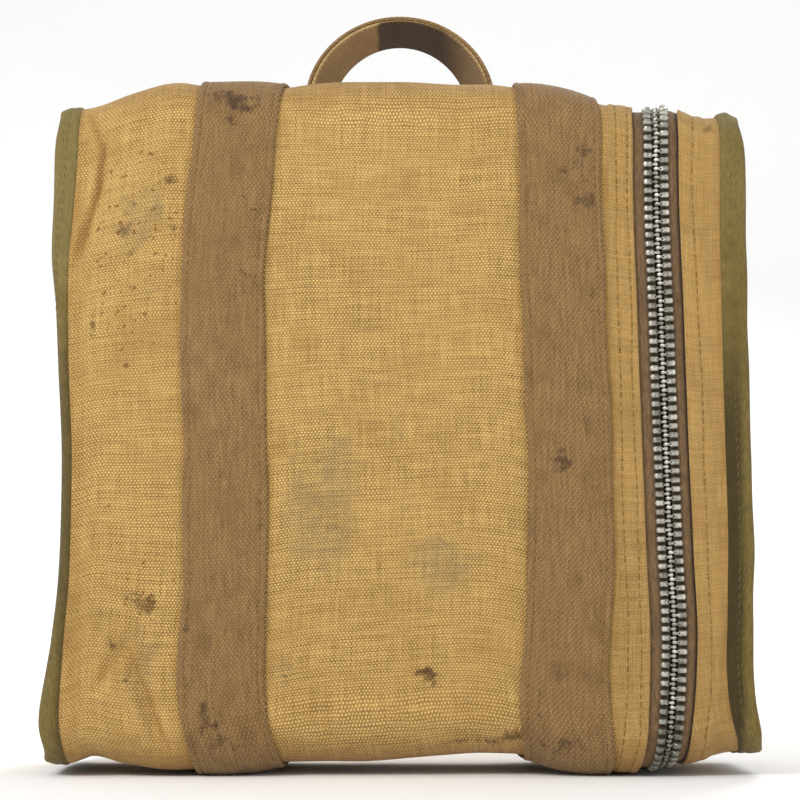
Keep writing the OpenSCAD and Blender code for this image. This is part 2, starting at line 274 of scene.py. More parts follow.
FOLDS = [
    # from the top corner of the left end down to the edge of the seam
    ((-119, 252), (-112, 230), 1.8, 1.5),
    ((-113, 240), (-115, 212), 2.2, 1.6),
    ((-114, 222), (-122, 188), 2.0, 1.7),
    ((-106, 246), (-110, 205), 0.9, 4.0),
    ((-92, 250), (-104, 226), 0.8, 3.0),
    # loose cloth low on the left
    ((-103, 50), (-84, 8), 2.4, 2.0),
    ((-112, 26), (-98, 52), 1.9, 2.0),
    ((-94, 44), (-88, 6), 1.4, 3.0),
    ((-122, 96), (-118, 40), 0.9, 3.0),
    ((-104, 78), (-92, 46), 0.8, 3.0),
    ((-120, 30), (-106, 10), 1.2, 3.5),
    # broad slack across the middle
    ((-42, 60), (36, 44), 1.1, 7.0),
    ((-36, 178), (22, 206), 1.0, 9.0),
    ((-30, 110), (38, 92), 0.8, 8.0),
    ((-30, 150), (-14, 70), 0.7, 7.0),
    ((-8, 20), (46, 12), 1.3, 2.6),
    ((-44, 20), (-20, 8), 1.0, 2.6),
    # beside the right band
    ((46, 214), (40, 150), 0.6, 5.0),
    ((84, 226), (88, 120), 0.5, 5.0),
    # the lid, towards its bottom corner
    ((116, 46), (124, 14), 1.0, 3.0),
    ((120, 120), (118, 40), 0.6, 3.5),
]


WAVE_SHARE = 0.0045  # height of a slack wave, as a share of its length


def waves(u, s):
    """Slow waves of slack cloth, the same on every run."""
    rng = np.random.default_rng(11)
    total = 0.0
    for size in (0.110, 0.085, 0.060, 0.042, 0.030, 0.022):
        angle, phase_a, phase_b = rng.uniform(0, 2 * math.pi, 3)
        across_wave = u * math.cos(angle) + s * math.sin(angle)
        along_wave = s * math.cos(angle) - u * math.sin(angle)
        swell = np.sin(2 * math.pi * across_wave / size + phase_a)
        total = total + size * swell * np.sin(math.pi * along_wave / size + phase_b)
    return total


def relief(u, s):
    """How far the real cloth stands off the smooth shape. It lies flat under the slider's run."""
    s = s % LOOP
    out = WAVE_SHARE * waves(u, s)
    for (u0, z0), (u1, z1), depth, width in FOLDS:
        start, end = (u0 * MM, front(z0 * MM)), (u1 * MM, front(z1 * MM))
        out = out + fold(u, s, start, end, depth * MM, width * MM)
    for side in (-1, 1):
        aside = np.abs(u - band_u(side, s)) / (BAND_W / 2)
        out = out - 0.7 * MM * bump(aside, 1.0, 0.42)
    on_run = smooth01((s - on_top(-39 * MM)) / (4 * MM)) * smooth01((on_top(50 * MM) - s) / (4 * MM))
    flat = on_run * smooth01((12 * MM - np.abs(u - ZIP_X - 1.5 * MM)) / (4 * MM))
    return out * (1 - flat) + flat * (END_TOP_Z - MID_TOP_Z + top_drop(u))


def cloth(u, s, lift=0.0):
    """A point on the cloth, lifted outwards from the outer face of the canvas."""
    point, normal = cloth_frame(u, s)
    return point + normal * np.asarray(lift)[..., None]


def cloth_frame(u, s):
    """Points of the outer face of the canvas, and the outward directions there."""
    u, s = np.broadcast_arrays(np.asarray(u, float), np.asarray(s, float))
    step = 0.4 * MM
    across = shape(u + step, s) - shape(u - step, s)
    along = shape(u, s + step) - shape(u, s - step)
    normal = np.cross(across, along)
    normal /= np.linalg.norm(normal, axis=-1, keepdims=True)
    return shape(u, s) + normal * relief(u, s)[..., None], normal


# ---------------------------------------------------------------- meshes from grids


def new_piece(name, points, faces, corner_uv, material):
    """A smooth piece whose uv map holds each corner's place on the cloth, in metres."""
    mesh = bpy.data.meshes.new(name)
    mesh.from_pydata(points.reshape(-1, 3).tolist(), [], faces.tolist())
    layer = mesh.uv_layers.new(name="cloth")
    layer.data.foreach_set("uv", corner_uv.reshape(-1).astype(np.float32))
    mesh.materials.append(material)
    mesh.shade_smooth()
    mesh.validate()
    return in_scene(name, mesh)


def quads(rows, columns, closed_rows, closed_columns):
    """Corner indices of a grid's cells and the same corners counted on past the closing line."""
    i, j = np.meshgrid(np.arange(rows if closed_rows else rows - 1),
                       np.arange(columns if closed_columns else columns - 1), indexing="ij")
    corner_rows = np.stack([i, i, i + 1, i + 1], -1)
    corner_columns = np.stack([j, j + 1, j + 1, j], -1)
    return (corner_rows % rows) * columns + corner_columns % columns, corner_rows, corner_columns


def sheet_piece(name, outer, inner, uv, material, keep=None, loop=None):
    """A sheet of cloth with two faces and closed rims. loop is how far uv runs on round a closed one."""
    rows, columns = outer.shape[:2]
    cells, corner_rows, corner_columns = quads(rows, columns, loop is not None, False)
    if keep is not None:
        cells, corner_rows, corner_columns = cells[keep], corner_rows[keep], corner_columns[keep]
    cells = cells.reshape(-1, 4)
    cell_uv = uv[corner_rows % rows, corner_columns].reshape(-1, 4, 2)
    cell_uv[..., 1] += (loop or 0.0) * (corner_rows.reshape(-1, 4) >= rows)
    count = rows * columns
    edges = np.stack([cells, np.roll(cells, -1, 1)], -1).reshape(-1, 2)
    edge_uv = np.stack([cell_uv, np.roll(cell_uv, -1, 1)], 2).reshape(-1, 2, 2)
    rim = ~np.isin(edges[:, 0] * count + edges[:, 1], edges[:, 1] * count + edges[:, 0])
    a, b = edges[rim].T
    rims = np.stack([b, a, a + count, b + count], -1)
    faces = np.concatenate([cells, cells[:, ::-1] + count, rims])
    corner_uv = np.concatenate([cell_uv, cell_uv[:, ::-1], edge_uv[rim][:, [1, 0, 0, 1]]])
    points = np.concatenate([outer.reshape(-1, 3), inner.reshape(-1, 3)])
    piece = new_piece(name, points, faces, corner_uv, material)
    edit_mesh(piece, drop_loose_points)
    return piece


def swept_piece(name, points, uv, material, loop=None):
    """A closed section swept along rows. loop is how far uv runs on round a sweep that closes on itself."""
    rows, columns = points.shape[:2]
    cells, corner_rows, corner_columns = quads(rows, columns, loop is not None, True)
    cell_uv = uv[corner_rows % rows, corner_columns % columns]
    cell_uv[..., 1] += (loop or 0.0) * (corner_rows >= rows)
    piece = new_piece(name, points, cells.reshape(-1, 4), cell_uv.reshape(-1, 4, 2), material)
    if loop is None:
        edit_mesh(piece, close_ends, rows, columns)
    return piece


def many_solids(name, rings, material):
    """Many closed solids of one kind. rings is numbered by solid, ring and place round the ring."""
    count, depth, around = rings.shape[:3]
    cells = quads(depth, around, False, True)[0].reshape(-1, 4)
    one_end, other_end = np.arange(around)[::-1], (depth - 1) * around + np.arange(around)
    firsts = np.arange(count) * depth * around
    faces = (cells + firsts[:, None, None]).reshape(-1, 4).tolist()
    for end in (one_end, other_end):
        faces += (end + firsts[:, None]).tolist()
    mesh = bpy.data.meshes.new(name)
    mesh.from_pydata(rings.reshape(-1, 3).tolist(), [], faces)
    mesh.materials.append(material)
    mesh.shade_smooth()
    return in_scene(name, mesh)


def in_scene(name, data):
    """A new object, linked into the scene."""
    piece = bpy.data.objects.new(name, data)
    bpy.context.scene.collection.objects.link(piece)
    return piece


def edit_mesh(piece, change, *details):
    """Makes one change to the mesh of a piece."""
    work = bmesh.new()
    work.from_mesh(piece.data)
    work.verts.ensure_lookup_table()
    change(work, *details)
    work.to_mesh(piece.data)
    work.free()


def face_outwards(work):
    bmesh.ops.recalc_face_normals(work, faces=work.faces)


def drop_loose_points(work):
    loose = [v for v in work.verts if not v.link_faces]
    bmesh.ops.delete(work, geom=loose, context="VERTS")


def weld(work):
    bmesh.ops.remove_doubles(work, verts=work.verts, dist=0.02 * MM)
    face_outwards(work)


def close_ends(work, rows, columns):
    """Caps for a swept piece that has two ends."""
    work.faces.new([work.verts[k] for k in range(columns)][::-1])
    work.faces.new([work.verts[(rows - 1) * columns + k] for k in range(columns)])
    face_outwards(work)


# ---------------------------------------------------------------- materials


def srgb(r, g, b):
    """Linear colour from the everyday 0 to 255 values."""
    c = np.array([r, g, b]) / 255
    linear = np.where(c <= 0.04045, c / 12.92, ((c + 0.055) / 1.055) ** 2.4)
    return (*linear.tolist(), 1.0)


class Finish:
    """A procedural material, put together node by node."""

    def __init__(self, name, **sockets):
        self.material = bpy.data.materials.new(name)
        self.material.use_nodes = True
        self.tree = self.material.node_tree
        self.shader = self.tree.nodes["Principled BSDF"]
        for socket, value in sockets.items():
            self.shader.inputs[socket.replace("_", " ")].default_value = value

    def add(self, kind, inputs, output=0, **settings):
        node = self.tree.nodes.new("ShaderNode" + kind)
        for key, value in settings.items():
            setattr(node, key, value)
        for key, value in inputs.items():
            if isinstance(value, bpy.types.NodeSocket):
                self.tree.links.new(value, node.inputs[key])
            else:
                node.inputs[key].default_value = value
        return node.outputs[output]

    def math(self, operation, a, b=0.0):
        return self.add("Math", {0: a, 1: b}, operation=operation)

    def plus(self, a, b):
        return self.math("ADD", a, b)

    def times(self, a, b):
        return self.math("MULTIPLY", a, b)

    def span(self, value, from_low, from_high, to_low=0.0, to_high=1.0):
        names = ("Value", "From Min", "From Max", "To Min", "To Max")
        return self.add("MapRange", dict(zip(names, (value, from_low, from_high, to_low, to_high))))

    def mix(self, share, a, b):
        """A colour between two others. The mix node's colour sockets are its numbers 6, 7 and 2."""
        node = self.tree.nodes.new("ShaderNodeMix")
        node.data_type = "RGBA"
        for key, value in ((0, share), (6, a), (7, b)):
            if isinstance(value, bpy.types.NodeSocket):
                self.tree.links.new(value, node.inputs[key])
            else:
                node.inputs[key].default_value = value
        return node.outputs[2]

    def cloth_mm(self):
        """Place on the cloth in millimetres, as a vector and as its two numbers."""
        vector = self.in_mm(self.add("UVMap", {}, uv_map="cloth"))
        return vector, self.part(vector, 0), self.part(vector, 1)

    def object_mm(self):
        """Place on the piece in millimetres, in the object's own frame."""
        return self.in_mm(self.add("TexCoord", {}, output=3))

    def in_mm(self, vector):
        return self.add("VectorMath", {0: vector, 3: 1 / MM}, operation="SCALE")

    def part(self, vector, axis):
        return self.add("SeparateXYZ", {0: vector}, output=axis)

    def noise(self, vector, size, detail=3.0, roughness=0.55, stretch=(1, 1, 1)):
        """Smooth noise with features of about one size, in the vector's own units."""
        shares = tuple(1 / (size * k) for k in stretch)
        scaled = self.add("VectorMath", {0: vector, 1: shares}, operation="MULTIPLY")
        inputs = {"Vector": scaled, "Scale": 1.0, "Detail": detail, "Roughness": roughness}
        return self.add("TexNoise", inputs)

    def uneven(self, *noise, **settings):
        """Noise that swings to both sides of zero."""
        return self.math("SUBTRACT", self.noise(*noise, **settings), 0.5)

    def mark(self, channel):
        """One of the masks painted on the mesh, for soiling and for painted shade and light. The last is in
        the attribute's alpha.
        """
        if channel == 3:
            return self.add("Attribute", {}, output="Alpha", attribute_name="marks")
        colour = self.add("Attribute", {}, attribute_name="marks")
        return self.add("SeparateColor", {0: colour}, output=channel)

    def bump(self, height, distance, strength=1.0):
        return self.add("Bump", {"Height": height, "Distance": distance, "Strength": strength})

    def finish(self, colour, normal, roughness=None):
        for key, value in (("Base Color", colour), ("Roughness", roughness), ("Normal", normal)):
            if value is not None:
                self.tree.links.new(value, self.shader.inputs[key])
        return self.material


def plain_weave(f, x, y, warp_pitch, weft_pitch, wander, rows):
    """Height from about -1 to 1 of threads that pass over and under each other, in rows set apart."""
    across = f.times(f.plus(x, f.times(wander, 0.9)), math.pi / warp_pitch)
    along = f.times(f.plus(y, f.times(wander, 1.4)), math.pi / weft_pitch)
    knots = f.times(f.math("COSINE", across), f.math("COSINE", along))
    ribs = f.math("COSINE", f.times(along, 2))
    return f.plus(f.times(knots, 1 - rows), f.times(ribs, rows))


def canvas_finish():
    """Golden cotton duck, faded and rubbed in patches. Its hem beside the zip has a finer, darker weave."""
    f = Finish("canvas", Roughness=0.9, Sheen_Weight=0.12, Sheen_Roughness=0.5, Specular_IOR_Level=0.2)
    place, x, y = f.cloth_mm()
    wander = f.uneven(place, 9.0, 2.0)
    facing = f.math("GREATER_THAN", x, 80.0)
    finer = f.plus(1.0, f.times(facing, 0.45))
    weave = plain_weave(f, f.times(x, finer), f.times(y, finer), 0.65, 1.02, wander, 0.34)
    slub_warp = f.uneven(place, 1.2, 2.0, stretch=(0.55, 14, 1))
    slub_weft = f.uneven(place, 1.4, 2.0, stretch=(14, 0.75, 1))
    grit = f.uneven(place, 0.55, 2.0, 0.6)
    threads = f.plus(f.plus(slub_warp, slub_weft), f.times(grit, 0.8))
    knots = f.span(weave, -0.7, 0.9, -0.62, 0.7)
    tone = f.span(f.plus(knots, f.times(threads, 0.85)), -0.72, 0.78)
    colour = f.mix(tone, srgb(86, 54, 15), srgb(243, 202, 124))
    colour = f.mix(f.times(facing, 0.26), colour, srgb(150, 112, 58))
    for size, detail, rough, start, end, most, tint in (
        (70.0, 4.0, 0.6, 0.35, 0.70, 0.40, srgb(196, 158, 92)),
        (24.0, 6.0, 0.66, 0.48, 0.72, 0.42, srgb(150, 112, 56)),
        (55.0, 5.0, 0.6, 0.52, 0.70, 0.30, srgb(142, 110, 58)),
    ):
        worn = f.noise(place, size, detail, rough)
        colour = f.mix(f.span(worn, start, end, 0.0, most), colour, tint)
    ragged = f.times(f.uneven(place, 6.0, 6.0, 0.7), 2.6)
    dark = f.span(f.plus(f.mark(0), ragged), 0.62, 1.0)
    colour = f.mix(f.times(dark, 0.78), colour, srgb(64, 36, 16))
    grey = f.span(f.plus(f.mark(1), ragged), 0.50, 1.25)
    colour = f.mix(f.times(grey, 0.40), colour, srgb(124, 110, 82))
    for size, thin in ((3.6, 0.775), (1.9, 0.79)):
        density = f.math("SUBTRACT", thin, f.times(f.mark(2), 0.14))
        specks = f.span(f.math("SUBTRACT", f.noise(place, size, 2.5, 0.55), density), 0.0, 0.035)
        colour = f.mix(f.times(specks, 0.72), colour, srgb(118, 66, 28))
    # the last mask darkens the cloth: painted shade towards the bottom and top, beside the seams and along
    # the creases, and a darkening beside the bands
    tan = f.span(f.plus(f.mark(3), f.times(ragged, 0.3)), 0.15, 1.0)
    colour = f.mix(f.times(tan, 0.62), colour, srgb(142, 98, 42))
    return f.finish(colour, f.bump(f.plus(weave, f.times(threads, 0.8)), 0.24 * MM))


def webbing_finish(name, base, dark, light):
    """Coarse plain-woven webbing, worn to its base colour in places."""
    f = Finish(name, Roughness=0.88, Sheen_Weight=0.1, Sheen_Roughness=0.5, Specular_IOR_Level=0.22)
    place, x, y = f.cloth_mm()
    weave = plain_weave(f, x, y, 0.8, 1.08, f.uneven(place, 7.0, 2.0), 0.25)
    ribs = f.noise(place, 1.3, 2.0, stretch=(0.9, 9, 1))
    uneven = f.plus(f.math("SUBTRACT", ribs, 0.5), f.uneven(place, 0.7, 2.0, 0.6))
    tone = f.span(f.plus(f.times(weave, 0.5), f.times(uneven, 1.2)), -0.85, 0.85)
    colour = f.mix(tone, dark, light)
    worn = f.noise(place, 32.0, 5.0, 0.65)
    colour = f.mix(f.span(worn, 0.42, 0.75, 0.0, 0.55), colour, base)
    rubbed = f.noise(place, 12.0, 5.0, 0.65)
    colour = f.mix(f.span(rubbed, 0.5, 0.75, 0.0, 0.4), colour, dark)
    ragged = f.times(f.uneven(place, 5.0, 6.0, 0.7), 2.6)
    stain = f.span(f.plus(f.mark(0), ragged), 0.60, 1.05)
    colour = f.mix(f.times(stain, 0.75), colour, srgb(44, 30, 20))
    # painted shade, which only the inner layer of the handle carries, under its arch
    colour = f.mix(f.times(f.mark(1), 0.88), colour, srgb(46, 32, 20))
    return f.finish(colour, f.bump(f.plus(weave, f.times(ribs, 0.8)), 0.28 * MM))


def tape_finish(name, dark, light, slope=1.0, shaded_to=0.0):
    """Narrow twill tape, with its fine diagonal lines. Zip tape has painted shade by its teeth and under the
    hem.
    """
    f = Finish(name, Roughness=0.85, Sheen_Weight=0.08, Sheen_Roughness=0.5, Specular_IOR_Level=0.22)
    place, x, y = f.cloth_mm()
    diagonal = f.plus(f.times(x, slope), y)
    lines = f.math("SINE", f.times(diagonal, 2 * math.pi / 0.85))
    slub = f.uneven(place, 1.0, 3.0, 0.6, stretch=(0.9, 4, 1))
    tone = f.span(f.plus(f.times(lines, 0.22), f.times(slub, 2.2)), -0.8, 0.8)
    colour = f.mix(tone, dark, light)
    worn = f.noise(place, 14.0, 5.0, 0.65)
    colour = f.mix(f.span(worn, 0.45, 0.75, 0.0, 0.5), colour, dark)
    # the binding's masks: painted shade, then painted light
    colour = f.mix(f.times(f.mark(0), 0.8), colour, srgb(44, 34, 14))
    colour = f.mix(f.times(f.mark(1), 0.5), colour, srgb(150, 136, 86))
    if shaded_to:
        # painted shade: the shadow under the lid's hem, and the shade along the teeth
        hem_shadow = f.span(x, 7.4, 8.4, 0.0, 0.85)
        colour = f.mix(hem_shadow, colour, srgb(38, 26, 16))
        teeth_shade = f.span(f.math("ABSOLUTE", x), shaded_to - 0.8, shaded_to + 0.8, 0.85, 0.0)
        colour = f.mix(teeth_shade, colour, srgb(34, 28, 20))
    return f.finish(colour, f.bump(f.plus(lines, slub), 0.1 * MM, 0.8))


def metal_finish(name, dark, light, roughness, darker_below=None):
    """Dull metal, darker below a height when one is given."""
    f = Finish(name, Metallic=0.75, Specular_IOR_Level=0.5)
    place = f.object_mm()
    grain = f.noise(place, 5.0, 3.0, 0.55)
    colour = f.mix(f.span(grain, 0.35, 0.68), dark, light)
    if darker_below:
        low_down = f.span(f.part(place, 2), darker_below - 12, darker_below + 8, 0.62, 0.0)
        colour = f.mix(low_down, colour, srgb(84, 84, 70))
    rough = f.span(grain, 0.3, 0.7, roughness + 0.14, roughness - 0.06)
    return f.finish(colour, f.bump(f.noise(place, 0.6, 2.0), 0.02 * MM, 0.5), rough)


def thread_finish(name, dark, light):
    """Sewing thread, a little uneven in colour."""
    f = Finish(name, Roughness=0.75, Specular_IOR_Level=0.3)
    place = f.object_mm()
    colour = f.mix(f.span(f.noise(place, 2.0, 4.0), 0.35, 0.65), dark, light)
    return f.finish(colour, f.bump(f.noise(place, 0.4, 2.0), 0.08 * MM, 0.6))


CANVAS = canvas_finish()
WEBBING = webbing_finish("webbing", srgb(134, 102, 61), srgb(78, 54, 26), srgb(174, 138, 90))
# painted light: a lighter copy of the handle's webbing for its inner layer, which is then painted shade
# towards the right
LIT_INNER_WEBBING = webbing_finish(
    "handle_inner_webbing", srgb(182, 148, 98), srgb(126, 98, 58), srgb(214, 180, 128))
HANDLE_WEBBING = webbing_finish("handle_webbing", srgb(138, 109, 66), srgb(86, 64, 34), srgb(176, 144, 96))
BINDING = tape_finish("binding_tape", srgb(82, 68, 28), srgb(138, 120, 66))
ZIP_TAPE = tape_finish("zip_tape", srgb(78, 58, 38), srgb(148, 118, 84), slope=1.6, shaded_to=4.9)
TEETH = metal_finish("zip_teeth", srgb(128, 124, 112), srgb(206, 203, 192), 0.38, darker_below=26)
HARDWARE = metal_finish("zip_hardware", srgb(122, 117, 104), srgb(158, 153, 140), 0.4)
THREAD = thread_finish("thread", srgb(112, 80, 38), srgb(156, 118, 60))
OLIVE_THREAD = thread_finish("olive_thread", srgb(80, 70, 32), srgb(112, 100, 54))
WEB_THREAD = thread_finish("webbing_thread", srgb(98, 72, 38), srgb(140, 108, 64))


# ---------------------------------------------------------------- soiling, shade and light, painted on the meshes


def paint(piece, dark=0.0, grey=0.0, specks=0.0, tan=0.0):
    """Writes the masks of a piece, one number per point and kind: soiling, and on some pieces painted shade
    and painted light.
    """
    clean = np.zeros(len(piece.data.vertices))
    colours = np.stack([clean + layer for layer in (dark, grey, specks, tan)], -1).astype(np.float32)
    attribute = piece.data.attributes.new("marks", "FLOAT_COLOR", "POINT")
    attribute.data.foreach_set("color", colours.ravel())


def points_in_mm(piece):
    """The x, y and z of every point of a piece, in millimetres."""
    points = np.empty(len(piece.data.vertices) * 3, np.float32)
    piece.data.vertices.foreach_get("co", points)
    return points.reshape(-1, 3).T / MM


def on_front(y):
    """1 on the front of the pouch and 0 elsewhere."""
    return smooth01((-y - 30) / 12)


def spots(x, z, facing, *marks):
    """Soft spots, as (x, z, half width, half height, strength) in millimetres."""
    total = np.zeros_like(x)
    for cx, cz, wide, tall, strength in marks:
        total = total + strength * bump(x, cx, wide) * bump(z, cz, tall)
    return np.clip(total * facing, 0, 1)


# ---------------------------------------------------------------- the zip's line


def height_of(s):
    """How high the cloth beside the zip is."""
    return shape(np.full_like(s, 100 * MM), s)[..., 2]


def zip_u(s):
    """Where the middle of the zip lies across the pouch."""
    s = np.asarray(s, float)
    x = through(
        s, (under(33 * MM), ZIP_X), (under(-34 * MM), 98.4 * MM), (front(12 * MM), 100.6 * MM),
        (front(50 * MM), 102.5 * MM), (front(81 * MM), 101.4 * MM), (front(167 * MM), 98.9 * MM),
        (front(235 * MM), 97.5 * MM), (on_top(-42 * MM), 98.0 * MM), (on_top(-34 * MM), ZIP_X),
        (on_top(33 * MM), ZIP_X),
    )
    return uncross(x, height_of(s))


SLIT_FROM, SLIT_TO = under(SLIT_END_Y), on_top(SLIT_END_Y)


def body_rows(s):
    """How far the two rows of stitches lie from the hem on the pouch side."""
    lower = smooth01((front(236 * MM) - s) / (200 * MM))
    sway = 0.22 * MM * np.sin(s / (13 * MM)) + 0.12 * MM * np.sin(s / (5 * MM))
    return 2.1 * MM + 1.2 * MM * lower + sway, 6.6 * MM + 1.8 * MM * lower - sway


def lid_rows(s):
    """The lid's hem is held by one row, which wanders, and creased close to its edge."""
    return 1.2 * MM + 0 * s, 5.4 * MM + 0.35 * MM * np.sin(s / (23 * MM)) + 0.2 * MM * np.sin(s / (9 * MM))


def in_slit(s):
    """Where the canvas is open for the zip."""
    s = signed_s(s)
    return (s > SLIT_FROM) & (s < SLIT_TO)


# ---------------------------------------------------------------- flanges at the two end seams


def flange_angle(side, s):
    """How far the bound seam stands forwards of straight out, in radians."""
    s = signed_s(s)
    if side > 0:
        degrees = through(
            s, (under(40 * MM), -10), (under(-20 * MM), -6), (front(26 * MM), 12), (front(60 * MM), 2),
            (front(200 * MM), 4), (front(234 * MM), 6), (on_top(-41 * MM), 0), (on_top(-26 * MM), -36),
            (on_top(26 * MM), -36), (on_top(45 * MM), 0), (BACK_S + 60 * MM, -20), (BACK_LOW_S, -10),
        )
    else:
        degrees = through(
            s, (under(40 * MM), 0), (under(-30 * MM), -4), (front(12 * MM), -28), (front(25 * MM), -36),
            (front(40 * MM), -50), (front(55 * MM), -66), (front(72 * MM), -78), (front(125 * MM), -82),
            (front(160 * MM), -76), (front(182 * MM), -56), (front(205 * MM), -34), (front(235 * MM), -20),
            (on_top(0.0), 0), (on_top(45 * MM), 0), (BACK_S + 60 * MM, -25), (BACK_LOW_S, -10),
        )
    return np.radians(degrees)


def flange_reach(side, s):
    """The seam allowance is gathered in where it turns the corners."""
    s = signed_s(s)
    corner = bump(s, (front(246 * MM) + on_top(-40 * MM)) / 2, 10 * MM) * (0.22 if side > 0 else 0.12)
    return 1 - corner - 0.1 * bump(s, (under(-42 * MM) + front(4 * MM)) / 2, 7 * MM)


def flange(side, s, out, lift):
    """A point on the seam allowance: out is the distance past the seam, lift is towards its outer side."""
    out = np.asarray(out) * flange_reach(side, s)
    point, normal = cloth_frame(np.full_like(s, side * SEAM_U), s)
    sideways = np.zeros_like(point)
    sideways[..., 0] = side
    out, lift = np.asarray(out)[..., None], np.asarray(lift)[..., None]
    turn = flange_angle(side, s)[..., None] * np.clip(out / (4 * MM), 0, 1)
    turn_mean = flange_angle(side, s)[..., None] * np.clip(out / (8 * MM), 0.15, 0.92)
    direction = np.cos(turn_mean) * sideways + np.sin(turn_mean) * normal
    up = np.cos(turn) * normal - np.sin(turn) * sideways
    on_lid_top = smooth01((44 * MM - np.abs(signed_s(s) - on_top(0.0))) / (8 * MM))
    hump = 1.9 * MM * bump(out, 3.2 * MM, 2.8 * MM) * on_lid_top[..., None] * (side > 0)
    return point + direction * out + up * lift + normal * hump


def binding(name, side, body, node):
    """Tape folded over the seam, with its lips standing a little off the canvas."""
    lips = 0.9 * MM
    width, half = FLANGE_W, 1.75 * MM
    section = [
        (-0.4 * MM, half - lips), (0.0, half - 0.25 * MM), (0.8 * MM, half), (3.2 * MM, half - 0.15 * MM),
        (4.8 * MM, half + 0.1 * MM), (width - 2.4 * MM, half - 0.15 * MM), (width - 1.0 * MM, half * 0.8),
        (width - 0.3 * MM, half * 0.45),
    ]
    outs, lifts = np.array(section + [(width, 0.0)] + [(out, -lift) for out, lift in section[::-1]]).T
    s = round_the_loop(420) + 0 * outs
    wobble = 0.25 * MM * np.sin(s / (7 * MM)) * np.sin(s / (31 * MM) + side)
    points = flange(side, s, outs + wobble * (outs > 6 * MM), lifts - CANVAS_T + 0 * s)
    around = np.concatenate([[0], np.cumsum(np.hypot(np.diff(outs), np.diff(lifts)))])
    uv = np.stack([around + 0 * s, s], -1)
    piece = swept_piece(name, points[:, ::side], uv[:, ::side], BINDING, LOOP)
    x, _, z = points_in_mm(piece)
    # painted shade on the half of the binding by the seam, lower down, and painted light higher up
    near_seam = smooth01((side * SEAM_U / MM + 5.2 * side - x) * side / 2.2)
    if side > 0:
        paint(piece, near_seam * smooth01((190 - z) / 70), 0.25 * smooth01((z - 190) / 30))
    else:
        paint(piece, 0.5 * near_seam * smooth01((180 - z) / 30), 0.5 * smooth01((z - 175) / 20))
    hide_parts(node)
    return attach(piece, body)


# ---------------------------------------------------------------- pouch canvas


def canvas_columns(s):
    """Where each column of the canvas lies on every row, and which cells are cloth, not the zip's slit."""
    hem = np.concatenate([[0, 0.25, 0.5], np.arange(1.0, 9.6, 0.6), [10.0, 10.6, 12.0]]) * MM
    lid_hem = hem[hem < 8 * MM]
    line = zip_u(signed_s(s))
    left_edge, right_edge = line - BODY_SLIT, line + LID_SLIT
    main_from, lid_from = left_edge - hem[-1], right_edge + lid_hem[-1]
    # the columns are closer together in the last fifth, beside the left seam, where the sharp folds are
    rest = np.concatenate([np.linspace(0, 0.79, 50)[1:], np.linspace(0.79, 1, 38)[1:]])
    main = main_from - (main_from + SEAM_U) * rest
    bridge = left_edge + (BODY_SLIT + LID_SLIT) * np.linspace(0, 1, 9)[1:-1]
    lid = lid_from + (SEAM_U - lid_from) * np.linspace(0, 1, 9)[1:]
    u = np.concatenate([main[:, ::-1], left_edge - hem[::-1], bridge, right_edge + lid_hem, lid], 1)
    first = main.shape[1] + len(hem) - 1
    keep = np.ones((len(s), u.shape[1] - 1), bool)
    keep[in_slit(s[:, 0]), first:first + bridge.shape[1] + 1] = False
    return u, keep


def hem_relief(u, s):
    """How far the hems beside the slit stand up, with their puckers and the rows of stitches pressed in."""
    place = signed_s(s)
    line = zip_u(place)
    on_lid = u > line
    distance = np.where(on_lid, u - line - LID_SLIT, line - BODY_SLIT - u)
    inside = np.minimum(SLIT_TO - place, place - SLIT_FROM)
    near_slit = smooth01((inside + 4 * MM) / (6 * MM))
    raised = HEM_LIFT * smooth01((10.2 * MM - distance) / (1.6 * MM)) * (distance > -MM)
    for body_row, lid_row in zip(body_rows(place), lid_rows(place)):
        raised = raised - 0.42 * MM * bump(distance, np.where(on_lid, lid_row, body_row), 0.5 * MM)
    pucker = 0.16 * MM * np.sin(2 * math.pi * s / (2.6 * STITCH)) * bump(distance, 5 * MM, 4 * MM)
    worn_edge = 0.5 * MM * bump(distance, 0, 0.35 * MM)
    return (raised + pucker - worn_edge) * near_slit


def canvas():
    """The cloth round the pouch and its lid. It is whole across the back, where the lid folds."""
    s = round_the_loop(340)
    u, keep = canvas_columns(s)
    faces = []
    for lift, seam_lift in ((hem_relief(u, s), 0.0), (-CANVAS_T, -0.9 * MM)):
        left, right = flange(-1, s, TAIL[::-1], seam_lift), flange(1, s, TAIL, seam_lift)
        faces.append(np.concatenate([left, cloth(u, s, lift), right], 1))
    seam = SEAM_U + TAIL + 0 * s
    u = np.concatenate([-seam[:, ::-1], u, seam], 1)
    whole = np.ones(seam.shape, bool)
    keep = np.concatenate([whole, keep, whole], 1)
    piece = sheet_piece("pouch_canvas", *faces, np.stack([u, s + 0 * u], -1), CANVAS, keep, LOOP)
    soil_canvas(piece)
    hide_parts("body_wrap", "lid_wrap")
    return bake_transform(piece)


